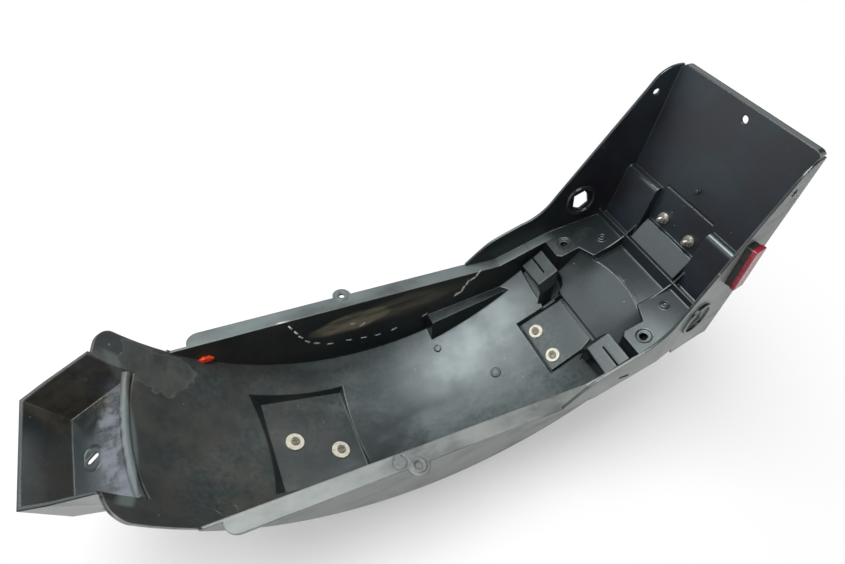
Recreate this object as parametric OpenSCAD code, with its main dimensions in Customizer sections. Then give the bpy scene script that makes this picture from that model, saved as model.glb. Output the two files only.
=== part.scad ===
// Rear inner mudguard with number plate panel, lying on its arched back.
// X runs from the front scoop to the tail, Y across, Z up. Millimetres.

/* [Arch] */
// Half of the clear width between the side walls
half_w = 101; // [85:0.5:120]
// Thickness of the moulded walls
wall = 3; // [2:0.1:5]
// Inside radius of the arch floor on the centre line
arch_r = 357; // [330:1:390]
// Radius of the floor across the trough
cross_r = 247; // [180:1:400]
// Position of the wheel centre along the part
arch_x = 12; // [0:0.5:30]
// Sweep of the floor from its lowest line to the front
front_sweep = 67.2; // [60:0.1:72]
// Sweep of the floor from its lowest line to the rear
rear_sweep = 50.5; // [46:0.1:56]

/* [Flange] */
// Height of the flange top where X is zero
flange_z = 128.4; // [110:0.5:150]
// Drop of the flange per millimetre towards the tail
flange_drop = 0.109; // [0:0.005:0.2]
// Width of the turned-out flange
flange_w = 19; // [8:0.5:30]
// Front end of the flange
flange_front = -236; // [-250:1:-200]
// Radius of the front corner of the flange
flange_corner = 14; // [4:1:18]
// Rise of the tail ledge per millimetre
ledge_rise = 0.27; // [0.1:0.01:0.4]
// Height of the tail ledge at the mount holes
ledge_z = 133.8; // [125:0.5:145]

/* [Ears] */
// Position of the side ears
ear_x = -50; // [-120:1:20]
// Radius of the side ears
ear_r = 11.5; // [8:0.5:16]
// Radius of the hole through each ear
ear_hole_r = 3.5; // [2:0.1:5]
// Radius of the raised ring round the ear hole
ear_ring_r = 8; // [6:0.5:10]
// Height of the raised ring round the ear hole
ear_ring_h = 0.8; // [0.3:0.1:2]

/* [Front edge] */
// Radius of the rounded corners of the front edge
wing_r = 17; // [4:0.5:22]
// Half width of the floor in front of the flanges
wing_w = 102.3; // [98:0.1:106]

/* [Front scoop] */
// Front end of the scoop rim
scoop_x = -371; // [-390:1:-350]
// Half width of the scoop at the front rim
scoop_w = 52; // [40:1:65]
// Height of the front rim
scoop_top = 216; // [200:1:230]
// Front end of the scoop floor
scoop_floor_x = -350; // [-360:1:-335]
// Height of the scoop floor at its front
scoop_floor_z = 170; // [160:1:185]
// Half width of the scoop floor at its front
scoop_floor_w = 48; // [40:1:60]
// Rear end of the scoop rim at the notch
notch_x = -306; // [-315:1:-298]
// Half width of the scoop at the notch
notch_w = 74.5; // [65:0.5:85]
// Height of the scoop rim at the notch
notch_z = 230.5; // [222:0.5:240]
// Radius of the rounded crest behind the scoop floor
crest_r = 4.5; // [2:0.5:8]

/* [Front pad] */
// Middle of the front pad along the part
pad_a_x = -135.5; // [-160:0.5:-110]
// Height of the middle of the front pad
pad_a_z = 34.6; // [25:0.1:45]
// Tilt of the front pad
pad_a_tilt = 22; // [15:0.5:30]
// Half length of the front pad
pad_a_l = 52.5; // [35:0.5:65]
// Half width of the front pad
pad_a_w = 60; // [40:0.5:75]

/* [Rear pad] */
// Middle of the rear pad along the part
pad_b_x = 202; // [185:0.5:215]
// Height of the middle of the rear pad
pad_b_z = 63.2; // [55:0.1:75]
// Tilt of the rear pad
pad_b_tilt = 31.7; // [25:0.1:38]
// Half length of the rear pad
pad_b_l = 32; // [20:0.5:40]
// Half width of the rear pad
pad_b_w = 37.5; // [25:0.5:48]
// Width of the groove round the rear pad
moat_w = 5.5; // [2:0.5:9]
// Depth of the groove below the face of the rear pad
moat_d = 11; // [5:0.5:16]

/* [Pad fasteners] */
// Radius of the front pad washers
washer_a_r = 11; // [8:0.5:14]
// Radius of the rear pad washers
washer_b_r = 9.25; // [7:0.25:12]
// Thickness of the pad washers
washer_t = 1.6; // [1:0.1:3]
// Radius of the pad screw shanks
screw_r = 2.9; // [2:0.1:4]
// Radius of the pad screw heads
head_r = 5; // [4:0.1:7]
// Height of the pad screw heads
head_h = 2.4; // [1.5:0.1:4]
// Clearance between a shank and the bore of its nut
thread_gap = 0.1; // [0.05:0.05:0.2]
// Clearance between a shank and its washer or hole
shank_gap = 0.3; // [0.1:0.1:1]
// Length of the pad screws below the head
screw_l = 12; // [9:0.5:20]
// Size of the pad nuts across flats
pad_nut_af = 9; // [7:0.5:12]
// Height of the pad nuts
pad_nut_h = 4; // [2:0.5:6]
// Distance of the rear pad screws from the centre line
screw_b_y = 21; // [12:0.5:30]
// Position of the rear pad screws from the middle of the pad
screw_b_x = -19.4; // [-22:0.1:-14]

/* [Clip tongues] */
// Front edge of the clip tongues
tongue_front = 202.5; // [196:0.5:210]
// Rear edge of the clip tongues
tongue_rear = 231; // [226:0.5:236]
// Inner end of the clip tongues from the centre line
tongue_in = 48; // [44:0.5:56]
// Outer end of the clip tongues from the centre line
tongue_out = 95.5; // [88:0.5:98]
// Bend of the clip tongues from the centre line
tongue_bend = 56; // [53:0.5:66]
// Height of the front edge of the clip tongues
tongue_z = 101.5; // [92:0.5:108]
// Slope of the top of the clip tongues
tongue_tilt = 31.8; // [25:0.1:38]
// Front edge of the pocket below each tongue
pocket_front = 206; // [200:0.5:214]
// Rear edge of the pocket below each tongue
pocket_rear = 243; // [236:0.5:248]
// Inner edge of the pocket below each tongue
pocket_in = 46.6; // [45:0.1:48]
// Depth of the pocket below the arch floor
pocket_d = 10; // [5:0.5:14]
// Width of the fine grooves up the walls and across the strips
groove_w = 1.2; // [0.8:0.1:2]
// Depth of the fine grooves in the walls
groove_d = 0.8; // [0.4:0.1:1.5]
// Width of the slit in each tongue
slit_w = 1.6; // [1:0.1:3]
// Position of the slit along the part
slit_x = 217.5; // [208:0.5:224]

/* [Mount tabs] */
// Position of the mount holes along the part
mount_x = 256.6; // [250:0.1:262]
// Distance of the mount holes from the centre line
mount_y = 84.3; // [76:0.1:92]
// Radius of the mount holes
mount_r = 4.5; // [3:0.1:6]
// Radius of the sunk seat round each mount hole
seat_r = 9; // [7:0.5:11]
// Depth of the sunk seat
seat_d = 1.4; // [0.5:0.1:2]
// Inner edge of the mount tabs from the centre line
tab_in = 67; // [60:0.5:74]
// Front edge of the mount tabs
tab_front = 238; // [236:0.5:246]
// Position of the small ring bosses along the part
ring_x = 299.8; // [292:0.1:306]
// Distance of the small ring bosses from the centre line
ring_y = 63.3; // [56:0.1:72]
// Radius of the small ring bosses
ring_r = 5.5; // [4:0.5:8]
// Height of the small ring bosses
ring_h = 3; // [1:0.5:6]

/* [Tail box] */
// Height of the plate panel rim
panel_top = 365; // [340:1:390]
// Position of the inner face of the plate panel at the tail nuts
panel_x = 349.8; // [340:0.1:360]
// Lean of the plate panel per millimetre of height
panel_lean = 0.107; // [0:0.001:0.2]
// Half width of the plate panel
panel_w = 94; // [85:0.5:105]
// Radius of the rounded top corners of the plate panel
panel_corner = 9; // [4:1:16]
// Spread of the side walls beyond the trough walls at their bend
side_out = 13; // [8:0.5:16]
// Position of the side wall bend
side_bend = 250; // [235:1:265]
// Half width between the thin lengthwise ribs
rib_y = 47.5; // [42:0.5:54]
// Position of the thin crosswise rib
rib_x = 320.6; // [312:0.1:328]
// Height of the crosswise rib
rib_top = 160; // [154:0.5:168]
// Thickness of the thin ribs
rib_t = 2.4; // [1.6:0.1:4]
// Height of the recessed floor at its front
recess_z = 130.5; // [126:0.5:134]
// Top of the middle block
block_top = 184; // [176:0.5:190]
// Half width of the middle block
block_w = 41; // [34:0.5:45]
// Radius of the rounded corner blocks
corner_r = 7.5; // [5:0.5:10]
// Height of the middle of the rounded corner block edges
corner_z = 222; // [212:0.5:232]
// Inner end of the corner blocks from the centre line
corner_in = 43; // [38:0.5:50]
// Radius of the plate hole
plate_hole_r = 4.3; // [2:0.1:6]
// Radius of the small hole near each side rim
side_hole_r = 4; // [2:0.1:6]

/* [Panel rim and foot] */
// Thickness of the lip along the top of the plate panel
panel_lip = 8; // [3:0.5:12]
// Height of the foot of the plate panel
panel_foot = 114; // [108:1:126]

/* [Tail bolts] */
// Distance of the tail bolts from the centre line
bolt_y = 22.5; // [15:0.5:30]
// Height of the tail bolts
bolt_z = 197; // [190:0.5:205]
// Radius of the tail bolt shanks
bolt_r = 3; // [2:0.1:4]
// Reach of the tail bolts in front of the panel
bolt_out = 10.5; // [8:0.5:16]
// Height of the heads of the tail bolts
bolt_head_h = 4; // [2:0.5:6]
// Radius of the tail washers
tail_washer_r = 7.5; // [6:0.5:10]
// Thickness of the tail washers
tail_washer_t = 1.2; // [0.8:0.1:2]
// Size of the tail nuts across flats
nut_af = 10; // [8:0.5:13]
// Height of the tail nuts
nut_h = 5; // [3:0.5:8]

/* [Side reflector] */
// Height of the reflector
refl_h = 57; // [40:1:80]
// Width of the reflector
refl_w = 17; // [12:0.5:30]
// Thickness of the reflector base
refl_base_t = 7; // [3:0.5:9]
// Thickness of the reflector lens
refl_lens_t = 5; // [2:0.1:7]
// Position of the reflector along the part
refl_x = 317; // [308:0.5:324]
// Height of the middle of the reflector
refl_z = 254; // [240:1:262]

/* [Scuffed far wall] */
// Length of the worn slits
cut_l = 9; // [4:0.5:14]
// Width of the worn slits
cut_w = 2; // [1:0.1:3]

/* [Hidden] */
$fn = 96;
eps = 0.01;
arch_z = arch_r + wall;
home = [-0.8, 0, 0];
screw_a_at = [[-25.5, 1.2], [26, -21.3]];
flange_out = half_w + flange_w;
side_w = half_w + side_out;
side_front = 120;
line_x = (ledge_z - ledge_rise * mount_x - flange_z) / (-flange_drop - ledge_rise);
edge_r = arch_r - cross_r + sqrt(pow(cross_r + wall, 2) - pow(half_w + wall, 2)) - 0.4;
side_slope = (side_w - panel_w + 1) / (panel_x + 18 - side_bend);
plan_angle = atan(side_slope);
flange_tilt = atan(flange_drop);
ledge_tilt = atan(ledge_rise);
panel_tilt = atan(panel_lean);

function flange_h(x) = flange_z - flange_drop * x;
function ledge_h(x) = ledge_z + ledge_rise * (x - mount_x);
function top_h(x) = x < line_x ? flange_h(x) : ledge_h(x);
function panel_at(z) = panel_x + panel_lean * (z - bolt_z);
function side_at(x) = x < side_bend
  ? side_w + wall * (side_bend - x) / (side_bend - side_front)
  : side_w - side_slope * (x - side_bend);
function floor_r(y) = arch_r - cross_r + sqrt(cross_r * cross_r - y * y);
function bow(x0, z0, r, a0, a1, n = 8) =
  [for (i = [0:n]) [x0 + r * cos(a0 + (a1 - a0) * i / n), z0 + r * sin(a0 + (a1 - a0) * i / n)]];

// Shapes drawn in the X-Z plane, stretched across the part
module across(w) {
  rotate([90, 0, 0]) linear_extrude(w, center = true) children();
}

module both_sides() {
  children();
  mirror([0, 1, 0]) children();
}

// Turned about the wheel centre, from the front of the sweep to the rear
module about_wheel(front, rear) {
  translate([arch_x, 0, arch_z]) rotate([90, 0, 0]) rotate([0, 0, -90 - front])
    rotate_extrude(angle = front + rear) children();
}

module cross_disc(r, w) {
  intersection() {
    translate([arch_r - cross_r, 0]) circle(r = r, $fn = 180);
    translate([200, -w]) square([200, 2 * w]);
  }
}

module wheel_space(grow = 0, w = 160) {
  about_wheel(95, 85) intersection() {
    translate([arch_r - cross_r, 0]) circle(r = cross_r + grow, $fn = 180);
    translate([eps, -w]) square([400, 2 * w]);
  }
}

module arch_floor() {
  difference() {
    about_wheel(front_sweep, rear_sweep) difference() {
      cross_disc(cross_r + wall, half_w + wall);
      translate([arch_r - cross_r, 0]) circle(r = cross_r, $fn = 180);
    }
    // rounded corners of the front edge
    both_sides() translate([arch_x, 0, arch_z]) rotate([0, front_sweep, 0]) translate([0, 0, -400])
      linear_extrude(200) difference() {
        translate([-5, wing_w - wing_r]) square([wing_r + 5, wing_r + 5]);
        translate([wing_r, wing_w - wing_r]) circle(r = wing_r, $fn = 64);
      }
    // floor slightly narrower in front of the side walls
    both_sides() translate([-400, wing_w, 100]) cube([144, 10, 200]);
    // nothing stands above the tail ledges
    across(300) polygon([[235, ledge_h(235) - 0.6], [320, ledge_h(320) - 0.6], [320, 300], [235, 300]]);
  }
}

module trough_walls() {
  both_sides() translate([0, half_w + wall / 2, 0]) across(wall) intersection() {
    translate([arch_x, arch_z]) circle(r = edge_r, $fn = 180);
    polygon([[-260, flange_h(-260)], [line_x, flange_h(line_x)], [300, ledge_h(300)],
      [300, -20], [-260, -20]]);
  }
}

// Flange and tail ledge seen from above, far side
module ledge_plan() {
  difference() {
    union() {
      difference() {
        translate([flange_front, half_w]) square([120 - flange_front, flange_w]);
        difference() {
          translate([flange_front - 1, flange_out - flange_corner]) square(flange_corner + 1);
          translate([flange_front + flange_corner, flange_out - flange_corner])
            circle(r = flange_corner);
        }
      }
      polygon([[118, half_w], [118, flange_out], [side_bend, side_w + 1],
        [panel_x, side_at(panel_x) + 1], [panel_x, rib_y - rib_t], [276, rib_y - rib_t],
        [268, tab_in], [tab_front + 5, tab_in], [tab_front, tab_in + 5], [tab_front, half_w]]);
      translate([ear_x, flange_out]) circle(r = ear_r);
    }
    translate([ear_x, flange_out]) circle(r = ear_hole_r);
    translate([mount_x, mount_y]) circle(r = mount_r);
  }
}

module ledge_band(t = wall) {
  polygon([[-260, flange_h(-260)], [line_x, flange_h(line_x)], [panel_x, ledge_h(panel_x)],
    [panel_x, ledge_h(panel_x) - t], [line_x, flange_h(line_x) - t], [-260, flange_h(-260) - t]]);
}

module ledges() {
  difference() {
    both_sides() intersection() {
      linear_extrude(260) ledge_plan();
      across(300) ledge_band();
    }
    // shallow seat round each mount hole
    both_sides() translate([mount_x, mount_y, ledge_z]) rotate([0, -ledge_tilt, 0])
      translate([0, 0, -seat_d]) cylinder(r = seat_r, h = 10);
    // shallow round mark beside the near ear
    translate([ear_x - 16, -flange_out + 9.5, flange_h(ear_x - 16)]) rotate([0, flange_tilt, 0])
      difference() {
        translate([0, 0, -0.5]) cylinder(r = 8, h = 4);
        translate([0, 0, -1]) cylinder(r = 6.6, h = 6);
      }
    strip_grooves();
  }
  both_sides() translate([ear_x, flange_out, flange_h(ear_x)]) rotate([0, flange_tilt, 0])
    difference() {
      translate([0, 0, -0.5]) cylinder(r = ear_ring_r, h = ear_ring_h + 0.5);
      translate([0, 0, -4]) cylinder(r = ear_hole_r + 1.6, h = 8);
    }
  both_sides() translate([ring_x, ring_y, ledge_h(ring_x)]) rotate([0, -ledge_tilt, 0])
    difference() {
      translate([0, 0, -1]) cylinder(r = ring_r, h = ring_h + 1);
      translate([0, 0, -1]) cylinder(r = ring_r - 2.2, h = 10);
    }
}

// Fine grooves up each wall and across each strip, beside the slit
module strip_grooves() {
  both_sides() translate([slit_x - 4, half_w - 1, 0]) {
    translate([0, 0, 95]) cube([groove_w, groove_d + 1, 60]);
    translate([0, 0, top_h(slit_x) - 2 * groove_d]) cube([groove_w, 20, 4]);
  }
}

// Walls under the front and inner edges of each mount tab
module tab_walls() {
  both_sides() intersection() {
    wheel_space(wall - 0.5);
    across(300) polygon([[tab_front - 1, -10], [tab_front - 1, ledge_h(tab_front - 1) - 0.5],
      [290, ledge_h(290) - 0.5], [290, -10]]);
    translate([0, 0, 60]) linear_extrude(100) polygon([[tab_front, half_w + 1],
      [tab_front, tab_in + 5], [tab_front + 5, tab_in], [272, tab_in], [272, tab_in + wall],
      [tab_front + 6, tab_in + wall], [tab_front + wall, tab_in + 6],
      [tab_front + wall, half_w + 1]]);
  }
}

// Side view of the scoop, outside and inside
module scoop_shape(t) {
  hull() {
    both_sides() translate([scoop_floor_x - t, scoop_floor_w + t - 1, scoop_floor_z - t])
      cube([1, 1, 0.2]);
    both_sides() translate([-283, 71 + t - 1, scoop_floor_z + 11 - t]) cube([1, 1, 0.2]);
    both_sides() translate([scoop_x - t - 12, scoop_w + t + 1, scoop_top + 26]) cube([1, 1, 1]);
    both_sides() translate([notch_x + 9, notch_w + t + 3, notch_z + 32]) cube([1, 1, 1]);
  }
}

module scoop() {
  difference() {
    scoop_shape(wall);
    scoop_shape(0);
    // open above the rim
    across(300) polygon([[scoop_x - 40, scoop_top - 8.9], [scoop_x, scoop_top], [notch_x, notch_z],
      [notch_x + 40, notch_z + 8.9], [notch_x + 40, 300], [scoop_x - 40, 300]]);
    wheel_space(0.6);
    // long hole in the scoop floor
    scoop_floor_frame() rotate([0, 0, -58]) slot_shape(3, 6.5, 30);
  }
  // faint raised ring round the long hole
  scoop_floor_frame() difference() {
    slot_shape(8.5, 9, 1.2);
    slot_shape(7.2, 9, 8);
  }
}

module scoop_floor_frame() {
  translate([-332, -4.5, scoop_floor_z + 2.95]) rotate([0, -9.3, 0]) children();
}

// Long hole, stretched across the part
module slot_shape(r, l, h) {
  translate([0, l / 2, -h / 2]) cylinder(r = r, h = h, $fn = 48);
  translate([0, -l / 2, -h / 2]) cylinder(r = r, h = h, $fn = 48);
  translate([-r, -l / 2, -h / 2]) cube([2 * r, l, h]);
}

// Rounded crest between the scoop floor and the arch floor
module crest() {
  a = 60;
  translate([arch_x, 0, arch_z]) rotate([0, 90 + a, 0])
    translate([arch_r - cross_r, 0, 0]) rotate([0, 0, -16.2])
    rotate_extrude(angle = 32.4) translate([cross_r + crest_r * 0.55, 0]) circle(r = crest_r, $fn = 32);
}

module pad_a_frame() {
  translate([pad_a_x, 0, pad_a_z]) rotate([0, pad_a_tilt, 0]) children();
}

module pad_a_shape(t) {
  hull() {
    translate([-pad_a_l - t, -pad_a_w - t, -t]) cube([2 * (pad_a_l + t), 2 * (pad_a_w + t), 0.1]);
    translate([-pad_a_l - t - 21, -pad_a_w - t - 7, 24])
      cube([2 * pad_a_l + 2 * t + 27, 2 * (pad_a_w + t + 7), 0.1]);
  }
}

module pad_b_frame() {
  translate([pad_b_x, 0, pad_b_z]) rotate([0, -pad_b_tilt, 0]) children();
}

module pad_b_plan(g) {
  polygon([[-pad_b_l - 0.6 * g, pad_b_w + 2 + g], [pad_b_l + g, pad_b_w - 2 + g],
    [pad_b_l + g, -pad_b_w + 2 - g], [pad_b_l / 2 + g, -pad_b_w - 2.5 - 0.5 * g],
    [-pad_b_l - 0.6 * g, -pad_b_w - 2.5 - 0.5 * g]]);
}

module floor_pads() {
  difference() {
    pad_a_frame() pad_a_shape(wall);
    pad_a_frame() pad_a_shape(0);
    wheel_space();
  }
  difference() {
    pad_b_frame() translate([0, 0, -moat_d - wall]) linear_extrude(moat_d + 6) pad_b_plan(moat_w + wall);
    pad_b_frame() translate([0, 0, -moat_d]) linear_extrude(moat_d + 20) pad_b_plan(moat_w);
    wheel_space();
  }
  difference() {
    pad_b_frame() translate([0, 0, -moat_d - wall]) linear_extrude(moat_d + wall) pad_b_plan(0);
    pad_b_frame() translate([0, 0, -moat_d - wall - 1]) linear_extrude(moat_d + 1)
      pad_b_plan(-wall);
    pad_b_holes();
  }
}

module pad_a_holes() {
  pad_a_spots() translate([0, 0, -20])
    cylinder(r = screw_r + shank_gap, h = 40, $fn = 48);
}

module pad_b_holes() {
  pad_b_spots() translate([0, 0, -30])
    cylinder(r = screw_r + shank_gap, h = 60, $fn = 48);
}

module pocket_plan(g) {
  polygon([[pocket_front - g, half_w + 1], [pocket_rear + g, half_w + 1], [pocket_rear + g, pocket_in + 10],
    [pocket_rear - 3 + g, pocket_in + 3 - g / 2], [pocket_rear - 9 + g / 2, pocket_in - g],
    [pocket_front + 4, pocket_in - g], [pocket_front + 4 - g, pocket_in]]);
}

module below(a) {
  rotate([0, -tongue_tilt, 0]) rotate([a, 0, 0]) translate([-150, -150, -250]) cube([300, 300, 250]);
}

// Solid under the sloping top and the bent inner end of a tongue
module tongue_shape(t, e) {
  intersection() {
    translate([0, 0, 20]) linear_extrude(130) polygon([[tongue_front - e, tongue_out + e],
      [tongue_rear + e, tongue_out + 1.5 + e], [tongue_rear + e, tongue_in + 8 + t],
      [tongue_rear - 2 + e, tongue_in + 3 + t], [tongue_rear - 7 + e, tongue_in + t],
      [tongue_front + 7 - e, tongue_in + t], [tongue_front + 3 - e, tongue_in + 3 + t],
      [tongue_front + 1.5 - e, tongue_in + 8 + t]]);
    translate([tongue_front, tongue_bend, tongue_z - t]) below(0);
    translate([tongue_front, tongue_bend + t * 0.4, tongue_z - t]) below(56);
  }
}

module tongue_pockets() {
  both_sides() {
    // walls and bottom of the pocket
    difference() {
      intersection() {
        translate([0, 0, 20]) linear_extrude(130) pocket_plan(2.5);
        wheel_space(wall + pocket_d);
        translate([0, 0, 0]) cube([300, half_w + wall, 200]);
      }
      intersection() {
        translate([0, 0, 20]) linear_extrude(130) pocket_plan(0);
        wheel_space(pocket_d);
        translate([0, 0, 0]) cube([300, half_w, 200]);
      }
      wheel_space();
    }
    // bent tongue standing on the bottom of the pocket
    intersection() {
      difference() {
        tongue_shape(0, 0);
        tongue_shape(wall, 30);
        // slit from the outer end inwards
        translate([slit_x - slit_w / 2, 66.5, 60]) cube([slit_w, 60, 100]);
      }
      wheel_space(wall + pocket_d - 1);
    }
  }
}

// Long raised steps along the foot of both side walls
module wall_steps() {
  both_sides() intersection() {
    wheel_space(wall - 0.5);
    across(300) polygon([[58.5, -10], [60.5, 59], [172, 65.5], [190, 66.5], [190, -10]]);
    linear_extrude(120) polygon([[59, half_w + 1], [60, 84.5], [190, 91], [190, half_w + 1]]);
  }
}

// Side view of the tail box walls
module side_outline() {
  polygon(concat([[124, top_h(124) - wall], [124, 117], [140, 131], [153, 141], [161, 145.5],
    [171, 149.5], [186, 154.5]], bow(196, 222, 62, -82, -31, 10),
    [[334, 336]], bow(367, 332, 31, 156, 92, 10), [[380, panel_top - 2]],
    [[380, 90], [345, panel_foot], [330, panel_foot + 4], [276, 124],
    [272, ledge_h(272) - wall], [line_x, top_h(line_x) - wall]]));
}

module side_plan() {
  polygon([[side_front, flange_out - wall], [side_bend, side_w], [panel_x + 22, side_at(panel_x + 22)],
    [panel_x + 22, side_at(panel_x + 22) + wall], [side_bend, side_w + wall], [side_front, flange_out]]);
}

module panel_slab(t0, t1, z0, z1) {
  polygon([[panel_at(z0) + t0, z0], [panel_at(z0) + t1, z0], [panel_at(z1) + t1, z1],
    [panel_at(z1) + t0, z1]]);
}

module tail_box() {
  difference() {
    union() {
      // side walls
      intersection() {
        both_sides() linear_extrude(420) side_plan();
        across(300) side_outline();
        across(300) polygon([[100, 90], [panel_at(90) + wall, 90],
          [panel_at(400) + wall, 400], [100, 400]]);
      }
      // plate panel
      intersection() {
        across(2 * panel_w + 30) union() {
          panel_slab(0, wall, panel_foot, panel_top);
          panel_slab(0, panel_lip, panel_top - wall, panel_top);
        }
        linear_extrude(420) polygon([[300, side_at(300)], [panel_x + 32, side_at(panel_x + 32)],
          [panel_x + 32, -side_at(panel_x + 32)], [300, -side_at(300)]]);
        translate([300, 0, 0]) rotate([90, 0, 90]) linear_extrude(100) union() {
          translate([-120, 100]) square([240, panel_top - panel_corner - 100]);
          translate([-panel_w + panel_corner, 300])
            square([2 * (panel_w - panel_corner), panel_top - 300]);
          for (s = [-1, 1]) translate([s * (panel_w - panel_corner), panel_top - panel_corner])
            circle(r = panel_corner);
        }
      }
      // lip along the foot of the panel
      across(2 * 98) polygon([[rib_x + 1, ledge_h(rib_x)], [345.8, ledge_h(345)],
        [345.8, ledge_h(345) - wall], [rib_x + 1, ledge_h(rib_x) - wall]]);
    }
    // hole high in the panel
    translate([panel_at(351), -6.4, 351]) rotate([0, 90 + panel_tilt, 0])
      cylinder(r = plate_hole_r, h = 30, center = true);
    // small hole near each side rim
    both_sides() translate([345, 90, 332]) rotate([-90, 0, -plan_angle])
      cylinder(r = side_hole_r, h = 40, center = true);
    // six-sided opening in each side wall
    both_sides() translate([287, 110, 182]) rotate([-90, 0, -plan_angle]) six_sided(30);
    // groove across the foot of the plate
    across(77) polygon([[panel_at(234) - 1, 234], [panel_at(234) + 1.4, 234],
      [panel_at(237) + 1.4, 237], [panel_at(237) - 1, 237]]);
    // blind slots low on the outside of each side wall
    both_sides() translate([203, side_at(203) + wall + 8.4, 129]) rotate([90, 12, 0])
      slot_along(2.2, 10, 20);
    // fine groove up the inside of each side wall
    both_sides() translate([slit_x - 6, side_at(slit_x) - 6, top_h(slit_x)]) cube([groove_w, 6.9, 22]);
    tail_bolt_holes();
  }
  // raised rim round each six-sided opening, on the inside and the outside
  both_sides() translate([287, side_at(287) + wall / 2 * 1.01, 182]) rotate([-90, 0, -plan_angle])
    difference() {
      rim_shape(20, wall + 6);
      rim_shape(16.5, 30);
    }
  // small pin on the panel
  translate([panel_at(256), -1.4, 256]) rotate([0, -90 + panel_tilt, 0]) {
    translate([0, 0, -0.5]) cylinder(r = 2, h = 4, $fn = 32);
    translate([0, 0, 3]) cylinder(r = 3, h = 2, $fn = 32);
  }
}

module six_sided(h) {
  linear_extrude(h, center = true) polygon([[-10, -8], [3, -15], [8, -9], [12, 6], [2, 16], [-8, 12]]);
}

module slot_along(r, l, h) {
  translate([l / 2, 0, 0]) cylinder(r = r, h = h, center = true, $fn = 32);
  translate([-l / 2, 0, 0]) cylinder(r = r, h = h, center = true, $fn = 32);
  cube([l, 2 * r, h], center = true);
}

module rim_shape(r, h) {
  translate([1, 2, 0]) cylinder(r = r, h = h, center = true);
  translate([1, -3, 0]) cylinder(r = r, h = h, center = true);
}

module tail_bolt_holes() {
  for (s = [-1, 1]) translate([panel_at(bolt_z), s * bolt_y, bolt_z]) rotate([0, 90 + panel_tilt, 0])
    cylinder(r = bolt_r + shank_gap, h = 40, center = true, $fn = 48);
}

// Recessed floor, thin ribs, middle block and corner blocks
module tail_foot() {
  // recessed floor and its side steps
  difference() {
    across(2 * rib_y) polygon([[262, recess_z - 6.6], [rib_x + 1, recess_z + 11],
      [rib_x + 1, recess_z + 8], [262, recess_z - 9.6]]);
    wheel_space(wall - 1);
  }
  // lengthwise ribs
  both_sides() translate([0, rib_y - rib_t / 2, 0]) across(rib_t) difference() {
    polygon(concat([[270, ledge_h(270) - 1]], bow(265.1, 228.4, 89.3, -83, -25, 12),
      [[panel_at(191) + 1, 191.5], [panel_at(140) + 1, 140], [rib_x, 130], [270, 118]]));
    translate([arch_x, arch_z]) circle(r = arch_r - 3, $fn = 180);
  }
  // crosswise rib
  intersection() {
    across(2 * side_at(rib_x) + 2) polygon([[rib_x - rib_t / 2, 134], [rib_x - rib_t / 2, rib_top],
      [rib_x + rib_t / 2, rib_top], [rib_x + rib_t / 2, 134]]);
    translate([300, 0, 0]) rotate([90, 0, 90]) linear_extrude(100)
      polygon([[-rib_y, 130], [rib_y, 130], [rib_y, 146], [110, 146], [110, 175],
        [93, 175], [93, rib_top], [-93, rib_top], [-93, 175], [-110, 175], [-110, 146], [-rib_y, 146]]);
  }
  // middle block, a sloping box closed against the panel
  difference() {
    across(2 * block_w) polygon([[rib_x, 150], [panel_at(block_top) - 5, block_top],
      [panel_at(block_top) + 1, block_top], [panel_at(140) + 1, 140], [rib_x, 138]]);
    across(2 * (block_w - wall)) polygon([[rib_x + 4, 150], [panel_at(block_top) - 2.4, block_top - 3.4],
      [panel_at(block_top) + 9, block_top - 3], [panel_at(100) + 9, 100], [rib_x + 4, 100]]);
  }
  // corner blocks with a rounded top edge
  both_sides() intersection() {
    difference() {
      union() {
        translate([panel_at(corner_z) - 3, 0, corner_z]) rotate([-90, 0, 0])
          translate([0, 0, corner_in]) cylinder(r = corner_r, h = 60, $fn = 64);
        translate([0, corner_in + 30, 0]) across(60) polygon([[panel_at(corner_z) - 3 - corner_r, corner_z],
          [panel_at(corner_z) + 2, corner_z], [panel_at(ledge_h(340)) + 2, 150],
          [panel_at(150) - 14, 152]]);
      }
      translate([0, corner_in + 30 + wall, 0]) across(60) polygon([
        [panel_at(corner_z) - 3 - corner_r + wall, corner_z], [panel_at(corner_z) + 12, corner_z],
        [panel_at(140) + 12, 140], [panel_at(150) - 10, 140]]);
    }
    linear_extrude(420) polygon([[300, 0], [300, side_at(300) + 1],
      [panel_x + 10, side_at(panel_x + 10) + 1], [panel_x + 10, 0]]);
    across(300) polygon([[300, 100], [panel_at(100) + 1, 100], [panel_at(300) + 1, 300], [300, 300]]);
  }
}

// Marks and pips left by the mould on the floor
module floor_marks() {
  mark(17.1, 1, 4, 1);
  mark(8.3, 70.2, 3.2, 0.6);
  intersection() {
    translate([arch_x, 0, arch_z]) rotate([0, 46, 0]) translate([0, -79, -344]) rotate([0, 0, 90])
      difference() {
        slot_shape(6, 14, 12);
        slot_shape(4.8, 14, 30);
      }
    wheel_space(wall - 1);
    difference() {
      wheel_space(wall - 1);
      wheel_space(-0.5);
    }
  }
}

module mark(a, y, r, h) {
  translate([arch_x, 0, arch_z]) rotate([0, -a, 0])
    translate([0, y, -floor_r(y) - 1.8]) cylinder(r = r, h = h + 1.8, $fn = 48);
}

// Worn and melted slits through the far wall
module worn_cuts() {
  for (p = [[-122, 129.6, 66], [-117, 116, 68], [-113, 105, 60], [-106.5, 92, 48], [-95.5, 82, 30],
    [-79, 71, 22], [-54, 65, 20], [-33.5, 59, 16], [-13.7, 54, 8], [10, 54, -10],
    [-45, 96.5, 8], [-33, 88, -30], [56, 61, -25]])
    translate([p[0], half_w + 1, p[1]]) rotate([0, p[2], 0])
      cube([cut_l, 12, cut_w], center = true);
}

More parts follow.
